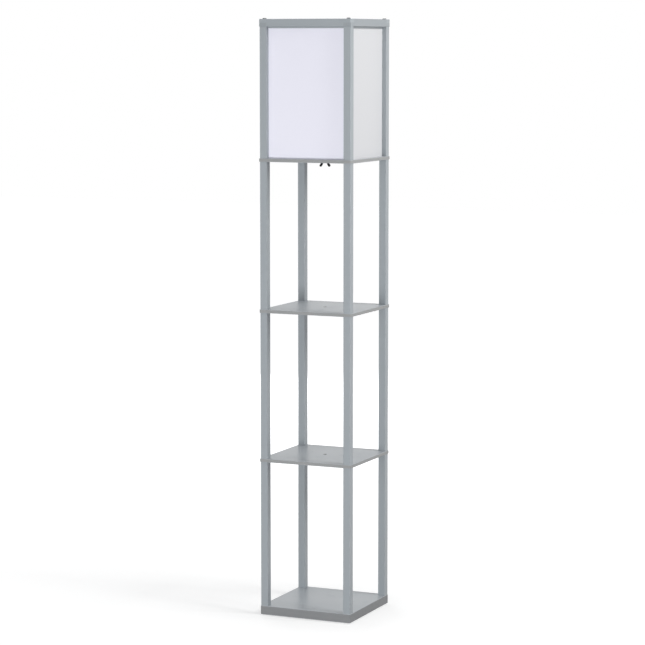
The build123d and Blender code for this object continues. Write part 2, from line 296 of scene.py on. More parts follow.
@dataclass(frozen=True)
class LacqueredBoard:
    """A board with lacquered faces and a matt band along its edges."""

    name: str
    face: Colour
    edge: Colour
    roughness: Range = (0.29, 0.39)
    worn_roughness: float = 0.54
    edge_roughness: Range = (0.51, 0.59)
    clouds: Noise = Noise(6.0, 3.0, (0.96, 1.04))
    streaks: Noise = Noise(180.0, 4.0, (0.9, 1.08), 0.04 * MM, 0.2)
    rubs: Noise = Noise(30.0, 6.0)
    peel: Noise = Noise(700.0, 3.0, height=0.04 * MM, strength=0.3)

    def material(self) -> Material:
        """Builds the board's material.

        Returns:
            The material.
        """
        board = Painter(self.name)
        clouds = board.noise(self.clouds)
        streaks = board.noise(self.streaks, Grain.ALONG_X)
        flat = board.flatness()
        face = board.tones(clouds, self.clouds, self.face)
        edge = board.tones(streaks, self.streaks, self.edge)
        board.feed("Base Color", board.blend(flat, edge, face))
        matt = board.spread(clouds, *self.edge_roughness)
        satin = board.spread(clouds, *self.roughness)
        worn = board.blend(board.rubbed(self.rubs), satin, (self.worn_roughness,) * 3)
        board.feed("Roughness", board.blend(flat, matt, worn))
        board.bump(board.noise(self.peel), self.peel)
        board.bump(streaks, self.streaks)
        return board.material


@dataclass(frozen=True)
class DiffuserSheet:
    """Translucent white plastic sheet with a fine fibre cloud in it."""

    name: str
    colour: Colour
    roughness: Range = (0.44, 0.56)
    specular: float = 0.35
    clouds: Noise = Noise(5.0, 2.0, (0.985, 1.01))
    fibres: Noise = Noise(420.0, 5.0, (0.97, 1.02), 0.05 * MM, 0.35)

    def material(self) -> Material:
        """Builds the sheet's material.

        Returns:
            The material.
        """
        sheet = Painter(self.name)
        sheet.set(Specular_IOR_Level=self.specular)
        clouds = sheet.noise(self.clouds)
        fibres = sheet.noise(self.fibres)
        broad = sheet.tones(clouds, self.clouds, self.colour)
        fine = sheet.tones(fibres, self.fibres, self.colour)
        sheet.feed("Base Color", sheet.blend(clouds, broad, fine))
        sheet.feed("Roughness", sheet.spread(fibres, *self.roughness))
        sheet.bump(fibres, self.fibres)
        return sheet.material


@dataclass(frozen=True)
class Moulding:
    """Moulded plastic or ceramic: a fine spark-eroded skin with soft flow marks."""

    name: str
    colour: Colour
    roughness: float
    swing: float = 0.07
    specular: float = 0.5
    flow: Noise = Noise(60.0, 3.0, (0.88, 1.12))
    skin: Noise = Noise(1600.0, 3.0, height=0.03 * MM, strength=0.5)

    def material(self) -> Material:
        """Builds the moulding's material.

        Returns:
            The material.
        """
        skin = Painter(self.name)
        skin.set(Specular_IOR_Level=self.specular)
        flow = skin.noise(self.flow)
        smooth, dull = self.roughness - self.swing, self.roughness + self.swing
        skin.feed("Base Color", skin.tones(flow, self.flow, self.colour))
        skin.feed("Roughness", skin.spread(flow, smooth, dull))
        skin.bump(skin.noise(self.skin), self.skin)
        return skin.material


@dataclass(frozen=True)
class PlatedMetal:
    """Bare or plated metal with drawn tool marks and a slight cloud of tarnish."""

    name: str
    colour: Colour
    roughness: float
    grain: Grain = Grain.ALONG_Z
    polish: float = 0.08
    dulling: float = 0.12
    tarnish: Noise = Noise(120.0, 4.0, (0.82, 1.1))
    marks: Noise = Noise(2500.0, 2.0, height=0.01 * MM, strength=0.5)

    def material(self) -> Material:
        """Builds the metal's material.

        Returns:
            The material.
        """
        metal = Painter(self.name, metallic=1.0)
        tarnish = metal.noise(self.tarnish)
        bright, dull = self.roughness - self.polish, self.roughness + self.dulling
        metal.feed("Base Color", metal.tones(tarnish, self.tarnish, self.colour))
        metal.feed("Roughness", metal.spread(tarnish, bright, dull))
        metal.bump(metal.noise(self.marks, self.grain), self.marks)
        return metal.material


@dataclass(frozen=True)
class PressedFelt:
    """Needled felt: matted fibres with a soft rim of light."""

    name: str
    colour: Colour
    roughness: float = 0.95
    sheen: float = 0.4
    sheen_roughness: float = 0.6
    tufts: Noise = Noise(900.0, 6.0, (0.5, 1.6), 0.3 * MM, 0.8)

    def material(self) -> Material:
        """Builds the felt's material.

        Returns:
            The material.
        """
        felt = Painter(self.name)
        felt.set(Roughness=self.roughness, Sheen_Weight=self.sheen)
        felt.set(Sheen_Roughness=self.sheen_roughness)
        tufts = felt.noise(self.tufts)
        felt.feed("Base Color", felt.tones(tufts, self.tufts, self.colour))
        felt.bump(tufts, self.tufts)
        return felt.material


@dataclass(frozen=True)
class Finishes:
    """Every finish of the lamp, by name."""

    post: Colour = (0.335, 0.365, 0.388)
    board: Colour = (0.408, 0.435, 0.460)
    # Painted light and shade: the front and rear rails and the side rails are lit and shaded
    # copies of the post paint. The side rails are painted darker.
    rail_light_and_shade_tones: Range = (0.99, 0.88)

    def build(self) -> dict[str, Material]:
        """Builds the materials.

        Returns:
            Each material by the name of its finish.
        """
        # A copy of the post paint with painted light for the front and rear rails, and one with
        # painted shade for the side rails.
        lit_rail_x, shaded_rail_y = (shade(self.post, tone) for tone in self.rail_light_and_shade_tones)
        fired = Noise(900.0, 3.0, height=0.06 * MM, strength=0.5)
        kinds = [
            SatinPaint("post_paint", self.post, Grain.ALONG_Z),
            SatinPaint("rail_paint_x_painted_light", lit_rail_x, Grain.ALONG_X),
            SatinPaint("rail_paint_y_painted_shade", shaded_rail_y, Grain.ALONG_Y),
            LacqueredBoard("shelf_lacquer", self.board, (0.315, 0.32, 0.322)),
            LacqueredBoard("base_lacquer", self.board, (0.242, 0.247, 0.254)),
            # Painted light and shade: the front and rear sheets and the side sheets are one sheet
            # in two tones. The brighter lavender white of the front is painted light, and the
            # darker grey of the sides is painted shade.
            DiffuserSheet("front_sheet_painted_light", (0.90, 0.89, 0.985)),
            DiffuserSheet("side_sheet_painted_shade", (0.64, 0.645, 0.665)),
            Moulding("black_moulding", (0.008, 0.008, 0.009), roughness=0.45, specular=0.2),
            Moulding("steatite", (0.78, 0.76, 0.70), roughness=0.7, skin=fired),
            Moulding("bulb_shell", (0.80, 0.80, 0.79), roughness=0.32),
            Moulding("opal", (0.86, 0.86, 0.84), roughness=0.22),
            Moulding("insulator", (0.02, 0.02, 0.022), roughness=0.15),
            PlatedMetal("zinc", (0.62, 0.62, 0.63), roughness=0.32),
            PlatedMetal("dark_steel", (0.10, 0.103, 0.107), roughness=0.42),
            PlatedMetal("brass", (0.72, 0.52, 0.22), roughness=0.28),
            PlatedMetal("nickel", (0.68, 0.66, 0.62), roughness=0.24),
            PlatedMetal("tin", (0.60, 0.60, 0.60), roughness=0.4, grain=Grain.NONE),
            PressedFelt("felt", (0.05, 0.05, 0.052)),
        ]
        return {kind.name: kind.material() for kind in kinds}


# ---------------------------------------------------------------- meshes


def around(segments: int) -> list[float]:
    """Gives the angles of evenly spaced points round a full turn."""
    return [FULL_TURN * step / segments for step in range(segments)]


def quarter(steps: int) -> list[float]:
    """Gives the angles of a quarter turn in equal steps, with both ends."""
    return [QUARTER_TURN * step / steps for step in range(steps + 1)]


def polar(radius: float, angle: float, height: float) -> Vector:
    """Gives the point at a radius and an angle about the axis, and at a height."""
    return Vector((radius * math.cos(angle), radius * math.sin(angle), height))


@dataclass(frozen=True)
class Ring:
    """One ring of a turned part: its radius and height in metres, and its outline."""

    radius: float
    height: float
    outline: Outline = Outline.ROUND
    flutes: int = 0
    flute_depth: float = 0.0

    def reach(self, angle: float) -> float:
        """Gives the ring's radius at an angle.

        Args:
            angle: The angle about the axis, in radians.

        Returns:
            The radius in metres. A hex ring's own radius is half its width across flats.
        """
        if self.outline is Outline.HEX:
            side = FULL_TURN / 6
            return self.radius / math.cos((angle % side) - side / 2)
        if self.outline is Outline.FLUTED:
            wave = 0.5 - 0.5 * math.cos(self.flutes * angle)
            return self.radius - self.flute_depth * wave**2
        return self.radius


def rings_from(profile: Profile, radius: float, height: float) -> list[Ring]:
    """Gives plain rings from a profile.

    Args:
        profile: Each ring's radius and height in millimetres, counted from a datum.
        radius: The datum's radius in metres.
        height: The datum's height in metres.

    Returns:
        The rings in the profile's order.
    """
    return [Ring(radius + reach * MM, height + rise * MM) for reach, rise in profile]


def skin(mesh: Mesh, rows: Sequence[list[bmesh.types.BMVert]]) -> None:
    """Joins each row of points to the next with faces, and mends which way they face.

    Args:
        mesh: The mesh that the points are in.
        rows: The rows in order. A row may be a single point.
    """
    for low, high in zip(rows, rows[1:]):
        count = max(len(low), len(high))
        for step in range(count):
            near, far = step, (step + 1) % count
            foot = [low[near % len(low)], low[far % len(low)]]
            head = [high[far % len(high)], high[near % len(high)]]
            mesh.faces.new(list(dict.fromkeys(foot + head)))
    bmesh.ops.recalc_face_normals(mesh, faces=mesh.faces)


def turned(rings: Sequence[Ring], segments: int, centre: Vector = ORIGIN) -> Mesh:
    """Skins rings about an upright axis. A ring of no radius closes to a point.

    Args:
        rings: The rings in order along the outline.
        segments: Points round each ring.
        centre: Where the axis meets height 0.

    Returns:
        The mesh, closed into a tube wall if its last ring is its first.
    """
    mesh = bmesh.new()
    closed = rings[0] == rings[-1] and rings[0].radius > 0
    rows = []
    for ring in rings[:-1] if closed else rings:
        angles = around(segments) if ring.radius else [0.0]
        points = [polar(ring.reach(angle), angle, ring.height) for angle in angles]
        rows.append([mesh.verts.new(centre + point) for point in points])
    skin(mesh, rows + rows[:1] if closed else rows)
    return mesh


def tube(
    outer: Callable[[float, float], float],
    inner: Callable[[float, float], float],
    low: float,
    high: float,
    steps: int,
    segments: int,
) -> Mesh:
    """Builds a tube whose walls vary with angle and height, such as a threaded one.

    Args:
        outer: The outer radius at an angle and a height.
        inner: The inner radius at an angle and a height, or 0 throughout for a solid bar.
        low: The lower end's height.
        high: The upper end's height.
        steps: Rows along the height.
        segments: Points round each row.

    Returns:
        The closed mesh.
    """
    mesh = bmesh.new()
    heights = [low + (high - low) * step / steps for step in range(steps + 1)]
    rows = []
    for wall, levels in ((outer, heights), (inner, heights[::-1])):
        if wall(0.0, low) == 0:
            rows.extend([mesh.verts.new((0, 0, z))] for z in (levels[0], levels[-1]))
            continue
        for z in levels:
            points = [polar(wall(angle, z), angle, z) for angle in around(segments)]
            rows.append([mesh.verts.new(point) for point in points])
    if len(rows[-1]) == 1:
        *sides, top, bottom = rows
        skin(mesh, [bottom, *sides, top])
    else:
        skin(mesh, rows + rows[:1])
    return mesh


@dataclass(frozen=True)
class Thread:
    """A right-hand thread's wave along a bar."""

    crest: float
    depth: float
    pitch: float
    origin: float

    def radius(self, angle: float, height: float) -> float:
        """Gives the thread's radius at an angle and a height."""
        turn = (height - self.origin) / self.pitch - angle / FULL_TURN
        return self.crest - self.depth * (0.5 - 0.5 * math.cos(FULL_TURN * turn))


class Piece:
    """A finished mesh that stands for CAD nodes or rides beside them."""

    def __init__(self, name: str, meshes: Sequence[Mesh], edge: float = PLAIN_EDGE) -> None:
        """Makes the object.

        Args:
            name: The piece's name.
            meshes: The meshes that it is joined from.
            edge: The sharpest edge, in degrees, that is still shaded smooth.
        """
        self.edge = math.radians(edge)
        mesh = bpy.data.meshes.new(name)
        joined = bmesh.new()
        for part in meshes:
            part.to_mesh(mesh)
            part.free()
            joined.from_mesh(mesh)
        joined.to_mesh(mesh)
        joined.free()
        self.object = bpy.data.objects.new(name, mesh)
        bpy.context.scene.collection.objects.link(self.object)
        self.smooth()

    def smooth(self) -> None:
        """Shades the piece smooth, but for its sharp edges."""
        self.object.data.shade_smooth()
        self.object.data.set_sharp_from_angle(angle=self.edge)

    def bake(self) -> None:
        """Turns the piece's modifiers into its own mesh."""
        view = bpy.context.evaluated_depsgraph_get()
        mesh = bpy.data.meshes.new_from_object(self.object.evaluated_get(view))
        self.object.modifiers.clear()
        self.object.data = mesh
        self.smooth()

    def seat(self, material: Material, slot: str, body: str, *nodes: str) -> None:
        """Dresses the piece, puts it on its body and hides the nodes it stands for.

        Args:
            material: The piece's finish.
            slot: Not used.
            body: The body it rides on.
            nodes: The CAD nodes it replaces.
        """
        self.object.data.materials.append(material)
        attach(self.object, body)
        if nodes:
            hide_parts(*nodes)
        log.info("%s rides on %s, for %s", self.object.name, body, ", ".join(nodes) or "itself")


def dress(node: str, material: Material) -> None:
    """Gives a CAD node that stays its finish.

    Args:
        node: The node.
        material: The finish.
    """
    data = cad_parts[node].data
    data.materials.clear()
    data.materials.append(material)
    log.info("%s is dressed with %s", node, material.name)


def corner_points(node: str, radius: float) -> list[Vector]:
    """Gives the four upright axes of a node that holds one round solid at each corner.

    Args:
        node: The node.
        radius: The radius of each solid, by which the node's box passes the axes.

    Returns:
        The points where the axes meet height 0.
    """
    low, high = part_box(node)
    wide, deep = ((low[axis] + radius, high[axis] - radius) for axis in (0, 1))
    return [Vector((x, y, 0)) for x in wide for y in deep]


# ---------------------------------------------------------------- sub-assemblies


@dataclass
class SubAssembly:
    """A part of the lamp that is dressed from the finishes, which it knows by name."""

    finish: dict[str, Material]


@dataclass
class Tower(SubAssembly):
    """Posts, boards, rails and shade sheets, whose solids stay as they are."""

    corners: tuple[str, ...] = ("front_left", "front_right", "rear_left", "rear_right")
    tiers: tuple[str, ...] = ("lower_post", "middle_post", "upper_post", "lamp_post")
    boards: tuple[str, ...] = ("lower_shelf", "upper_shelf", "lamp_board")

    def build(self) -> None:
        """Dresses every piece of the tower."""
        for tier in self.tiers:
            for corner in self.corners:
                dress(f"{tier}_{corner}", self.finish["post_paint"])
        for board in self.boards:
            dress(board, self.finish["shelf_lacquer"])
            dress(f"{board}_dowel_screws", self.finish["zinc"])
        dress("base_board", self.finish["base_lacquer"])
        # Front and rear take the rail paint and sheet with painted light, left and right the
        # copies with painted shade.
        for sides, rail, sheet in (
            (("front", "rear"), "rail_paint_x_painted_light", "front_sheet_painted_light"),
            (("left", "right"), "rail_paint_y_painted_shade", "side_sheet_painted_shade"),
        ):
            for side in sides:
                dress(f"top_rail_{side}", self.finish[rail])
                dress(f"shade_panel_{side}", self.finish[sheet])


@dataclass(frozen=True)
class HexSocket:
    """The hex recess in a screw's head. Its radii are half the width across flats."""

    radius: float
    mouth: float
    bevel: float
    depth: float
    cone: float

    def rings(self, face: float, inward: int) -> list[Ring]:
        """Gives the recess's rings, from its mouth to its point.

        Args:
            face: The height of the head's face.
            inward: 1 if the recess rises from the face, -1 if it sinks.

        Returns:
            The rings in order.
        """
        return [
            Ring(self.mouth, face, Outline.HEX),
            Ring(self.radius, face + inward * self.bevel, Outline.HEX),
            Ring(self.radius, face + inward * self.depth, Outline.HEX),
            Ring(0, face + inward * (self.depth + self.cone)),
        ]


@dataclass
class FastenerSet(SubAssembly):
    """The domed screws on top, the socket screws under the base and the felt pads."""

    shank_radius: float = 3.0 * MM
    shank_tip: float = 2.4 * MM
    bevel: float = 0.6 * MM
    dome_radius: float = 5.5 * MM
    dome_height: float = 2.5 * MM
    dome_underside: float = 5.335 * MM
    dome_rim: float = 2.9 * MM
    dome_steps: int = 8
    dome_socket: HexSocket = HexSocket(2.0 * MM, 2.12 * MM, 0.15 * MM, 1.6 * MM, 0.4 * MM)
    head_radius: float = 5.0 * MM
    head_height: float = 6.0 * MM
    head_edge: float = 0.3 * MM
    head_socket: HexSocket = HexSocket(2.5 * MM, 2.675 * MM, 0.2 * MM, 3.2 * MM, 0.5 * MM)
    knurls: int = 32
    knurl_depth: float = 0.25 * MM
    pad_radius: float = 12.5 * MM
    pad_softness: float = 0.4
    pad_steps: int = 4
    segments: int = 96

    def dome(self, low: float, high: float) -> list[Ring]:
        """Shapes a domed screw with a hex socket.

        Args:
            low: The height of the shank's end.
            high: The height of the dome's top.

        Returns:
            The screw's rings.
        """
        seat = high - self.dome_height
        span = self.dome_radius - self.dome_rim
        rings = [
            Ring(0, low),
            Ring(self.shank_tip, low),
            Ring(self.shank_radius, low + self.bevel),
            Ring(self.shank_radius, seat),
            Ring(self.dome_underside, seat),
        ]
        for lean in quarter(self.dome_steps):
            reach = self.dome_rim + span * math.cos(lean)
            rings.append(Ring(reach, seat + self.dome_height * math.sin(lean)))
        return rings + self.dome_socket.rings(high, -1)

    def knurled(self, height: float) -> Ring:
        """Gives a ring of the socket screw's knurled head."""
        return Ring(self.head_radius, height, Outline.FLUTED, self.knurls, self.knurl_depth)

    def bolt(self, low: float, high: float) -> list[Ring]:
        """Shapes a knurled socket head screw that looks down.

        Args:
            low: The height of the head's face.
            high: The height of the shank's end.

        Returns:
            The screw's rings.
        """
        seat = low + self.head_height
        return [
            *reversed(self.head_socket.rings(low, 1)),
            Ring(self.head_radius - self.bevel, low),
            self.knurled(low + self.bevel),
            self.knurled(seat - self.head_edge),
            Ring(self.head_radius - self.head_edge, seat),
            Ring(self.shank_radius, seat),
            Ring(self.shank_radius, high - self.bevel),
            Ring(self.shank_tip, high),
            Ring(0, high),
        ]

    def pad(self, low: float, high: float) -> list[Ring]:
        """Shapes a felt pad with soft edges.

        Args:
            low: The height of its underside.
            high: The height of its top.

        Returns:
            The pad's rings.
        """
        radius = self.pad_radius
        soft = (high - low) * self.pad_softness
        rings = [Ring(0, low), Ring(radius - 2 * soft, low)]
        for lean in quarter(self.pad_steps):
            reach = radius - soft + soft * math.sin(lean)
            rings.append(Ring(reach, low + soft - soft * math.cos(lean)))
        edge = [Ring(radius, high - soft / 2), Ring(radius - soft / 2, high), Ring(0, high)]
        return rings + edge

    def build(self) -> None:
        """Builds and seats the screws and pads."""
        steel, zinc, felt = (self.finish[name] for name in ("dark_steel", "zinc", "felt"))
        for node, name, form, radius, material, slot in (
            ("top_screws", "domed_top_screws", self.dome, self.dome_radius, steel, "dark_steel"),
            ("base_screws", "socket_base_screws", self.bolt, self.head_radius, zinc, "zinc_steel"),
            ("foot_pads", "felt_pads", self.pad, self.pad_radius, felt, "felt"),
        ):
            low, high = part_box(node)
            rings = form(low.z, high.z)
            parts = [turned(rings, self.segments, point) for point in corner_points(node, radius)]
            Piece(name, parts).seat(material, slot, "frame", node)


@dataclass
class Lampholder(SubAssembly):
    """The two-part black holder, its shell, block and hollow nipple.

    The cap's rim is counted from the cap's radius and top, its chamber from its radius and
    foot, and its boss from the axis and foot. The skirt's spigot is counted from the cap's
    radius and the skirt's foot, the collar from that radius and the joint, and neck, rim and
    mouth from their own radius and the skirt's top.
    """

    cap_bore: float = 5.05 * MM
    cap_foot: float = 12.0 * MM
    cap_foot_edge: float = 0.6 * MM
    cap_shoulder: float = 8.5 * MM
    cap_steps: int = 8
    cap_rim: Profile = ((0.0, -0.5), (-0.4, 0.0), (-2.0, 0.0))
    cap_chamber: Profile = ((-2.0, 12.0), (-4.5, 12.0), (-4.5, 6.0), (-7.5, 4.0))
    cap_boss: Profile = ((8.05, 4.0), (8.05, 9.0), (4.2, 9.0), (4.2, 8.0), (5.05, 8.0))
    spigot: Profile = ((-3.8, 0.0), (-2.1, 0.0))
    collar: Profile = ((-2.1, 0.0), (-0.4, 0.0), (0.0, 0.5), (0.0, 3.0))
    neck: Profile = ((0.0, -7.0), (0.0, -4.4))
    rim: Profile = ((-0.2, -3.4), (0.0, -2.8), (0.0, -0.8), (-0.8, 0.0))
    mouth: Profile = ((0.5, 0.0), (0.0, -0.5))
    floor: Profile = ((-3.8, -1.6),)
    wall: float = 2.2 * MM
    ribs: int = 30
    rib_depth: float = 0.7 * MM
    rib_start: float = 4.5 * MM
    rib_end: float = 8.5 * MM
    thread_pitch: float = 3.629 * MM
    thread_depth: float = 0.75 * MM
    thread_gap: float = 0.15 * MM
    sheet: float = 0.4 * MM
    flange_gap: float = 0.02 * MM
    shell_steps: int = 60
    shell_segments: int = 64
    nipple_pitch: float = 1.0 * MM
    nipple_thread_depth: float = 0.55 * MM
    nipple_bore: float = 3.9 * MM
    nipple_steps: int = 144
    nipple_segments: int = 40
    segments: int = 120

    def thread(self) -> Thread:
        """Gives the thread that the bulb's cap and the shell share, as wide as the cap."""
        low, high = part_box("bulb_cap")
        return Thread(high.x, self.thread_depth, self.thread_pitch, low.z)

    def cap(self) -> list[Ring]:
        """Shapes the domed cap, open upwards, with its boss round the nipple.

        Returns:
            Its rings.
        """
        low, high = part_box("holder_cap")
        radius = high.x
        outside = [Ring(self.cap_bore, low.z), Ring(self.cap_foot - self.cap_foot_edge, low.z)]
        for lean in quarter(self.cap_steps):
            reach = self.cap_foot + (radius - self.cap_foot) * math.sin(lean)
            outside.append(Ring(reach, low.z + self.cap_shoulder * (1 - math.cos(lean))))
        return [
            *outside,
            *rings_from(self.cap_rim, radius, high.z),
            *rings_from(self.cap_chamber, radius, low.z),
            *rings_from(self.cap_boss, 0.0, low.z),
            outside[0],
        ]

    def skirt(self) -> list[Ring]:
        """Shapes the ribbed skirt that screws down over the cap.

        Returns:
            Its rings.
        """
        low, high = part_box("holder_skirt")
        cap_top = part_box("holder_cap")[1]
        radius, joint = cap_top.x, cap_top.z
        inner = radius - self.wall
        foot = rings_from(self.spigot, radius, low.z)
        return [
            *foot,
            *rings_from(self.collar, radius, joint),
            Ring(radius, joint + self.rib_start, Outline.FLUTED, self.ribs, self.rib_depth),
            Ring(radius, high.z - self.rib_end, Outline.FLUTED, self.ribs, self.rib_depth),
            *rings_from(self.neck, radius, high.z),
            *rings_from(self.rim, high.x, high.z),
            *rings_from(self.mouth, inner, high.z),
            Ring(inner, joint),
            *rings_from(self.floor, radius, joint),
            foot[0],
        ]

    def shell(self) -> Mesh:
        """Builds the shell that is rolled from sheet, with its flange at the foot.

        Returns:
            Its mesh.
        """
        low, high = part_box("screw_shell")
        thread = self.thread()
        flange = high.x - self.flange_gap

        def inner(angle: float, z: float) -> float:
            """Gives the shell's inner radius: the bulb's thread with its gap."""
            return thread.radius(angle, z) + self.thread_gap

        def outer(angle: float, z: float) -> float:
            """Gives the shell's outer radius: a sheet further out, or the flange."""
            return flange if z < low.z + self.sheet else inner(angle, z) + self.sheet

        return tube(outer, inner, low.z, high.z, self.shell_steps, self.shell_segments)

    def nipple(self) -> Mesh:
        """Builds the hollow nipple with its outer thread.

        Returns:
            Its mesh.
        """
        low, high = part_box("nipple")
        cut = Thread(high.x, self.nipple_thread_depth, self.nipple_pitch, low.z)
        steps, segments = self.nipple_steps, self.nipple_segments
        return tube(cut.radius, lambda angle, z: self.nipple_bore, low.z, high.z, steps, segments)

    def build(self) -> None:
        """Builds and seats the holder's pieces."""
        black, brass, zinc = (self.finish[name] for name in ("black_moulding", "brass", "zinc"))
        for node, name, rings in (
            ("holder_cap", "domed_holder_cap", self.cap()),
            ("holder_skirt", "ribbed_holder_skirt", self.skirt()),
        ):
            mesh = turned(rings, self.segments)
            Piece(name, [mesh]).seat(black, "black_plastic", "frame", node)
        for node, name, mesh, material, slot in (
            ("screw_shell", "rolled_screw_shell", self.shell(), brass, "brass"),
            ("nipple", "threaded_nipple", self.nipple(), zinc, "zinc_steel"),
        ):
            Piece(name, [mesh], THREAD_EDGE).seat(material, slot, "frame", node)
        dress("terminal_block", self.finish["steatite"])
        dress("terminal_screws", brass)
        dress("centre_contact", brass)


@dataclass
class WingNut(SubAssembly):
    """The black wing nut and washer under the lamp board.

    The hub's profile is counted from its radius and the nut's upper face. Each wing is a
    finger from its root to its tip, both given by reach and by drop below that face.
    """

    hub_radius: float = 8.0 * MM
    hub: Profile = ((-0.5, -0.05), (-0.05, -0.6), (-0.3, -3.2), (-1.2, -5.0), (-1.8, -5.4))
    bore: float = 5.07 * MM
    bore_reach: float = 22.0 * MM
    root: tuple[float, float] = (6.4 * MM, 3.8 * MM)
    tip: tuple[float, float] = (11.3 * MM, 11.6 * MM)
    root_width: float = 3.1 * MM
    tip_width: float = 3.5 * MM
    half_thickness: float = 2.2 * MM
    turn: float = math.radians(24.0)
    wing_steps: int = 10
    facets: int = 24
    voxel: float = 0.28 * MM
    softening: float = 0.5
    softening_rounds: int = 6
    segments: int = 64

    def wing(self, side: int, face: float) -> Mesh:
        """Builds one wing as a flattened, swelling finger with a round tip.

        Args:
            side: -1 or 1, for the side it leans to.
            face: The height of the nut's upper face.

        Returns:
            The wing's mesh.
        """
        mesh = bmesh.new()
        start = Vector((self.root[0], -self.root[1]))
        end = Vector((self.tip[0], -self.tip[1]))
        length = (end - start).length
        along = (end - start) / length
        across = Vector((-along.y, along.x))
        outline = []
        for step in range(self.wing_steps):
            share = step / self.wing_steps
            width = self.root_width + (self.tip_width - self.root_width) * share
            outline.append((length * share, width, 1.0))
        for lean in quarter(self.wing_steps)[:-1]:
            closing = math.cos(lean)
            reach = length + self.tip_width * math.sin(lean)
            outline.append((reach, self.tip_width * closing, closing))
        rows = []
        for reach, width, closing in outline:
            row = []
            for angle in around(self.facets):
                flat = start + along * reach + across * (width * math.cos(angle))
                swell = self.half_thickness * closing * math.sin(angle)
                row.append(mesh.verts.new((side * flat.x, side * swell, face + flat.y)))
            rows.append(row)
        mesh.faces.new(rows[0])
        mesh.faces.new(rows[-1])
        skin(mesh, rows)
        return mesh

    def drill(self, face: float) -> bpy.types.Object:
        """Makes the bar that bores the nut.

        Args:
            face: The height of the nut's upper face.

        Returns:
            The bar's object, which is removed after the cut.
        """
        low, high = face - self.bore_reach, face + self.bore_reach
        rings = [Ring(0, low), Ring(self.bore, low), Ring(self.bore, high), Ring(0, high)]
        return Piece("drill", [turned(rings, self.segments)]).object

    def build(self) -> None:
        """Builds the nut as one casting, bores it and seats it."""
        black = self.finish["black_moulding"]
        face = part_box("wing_nut")[1].z
        hub = rings_from(self.hub, self.hub_radius, face)
        hub = [Ring(0, hub[0].height), *hub, Ring(0, hub[-1].height)]
        parts = [turned(hub, self.segments), self.wing(-1, face), self.wing(1, face)]
        casting = Piece("cast_wing_nut", parts, CAST_EDGE)
        body = casting.object
        body.data.transform(Matrix.Rotation(self.turn, 4, "Z"))
        fuse = body.modifiers.new("fuse", "REMESH")
        fuse.mode = "VOXEL"
        fuse.voxel_size = self.voxel
        soften = body.modifiers.new("soften", "SMOOTH")
        soften.factor = self.softening
        soften.iterations = self.softening_rounds
        cut = body.modifiers.new("bore", "BOOLEAN")
        cut.operation = "DIFFERENCE"
        cut.solver = "EXACT"
        drill = self.drill(face)
        cut.object = drill
        casting.bake()
        bpy.data.objects.remove(drill)
        casting.seat(black, "black_plastic", "wing_nut", "wing_nut")
        dress("washer", black)


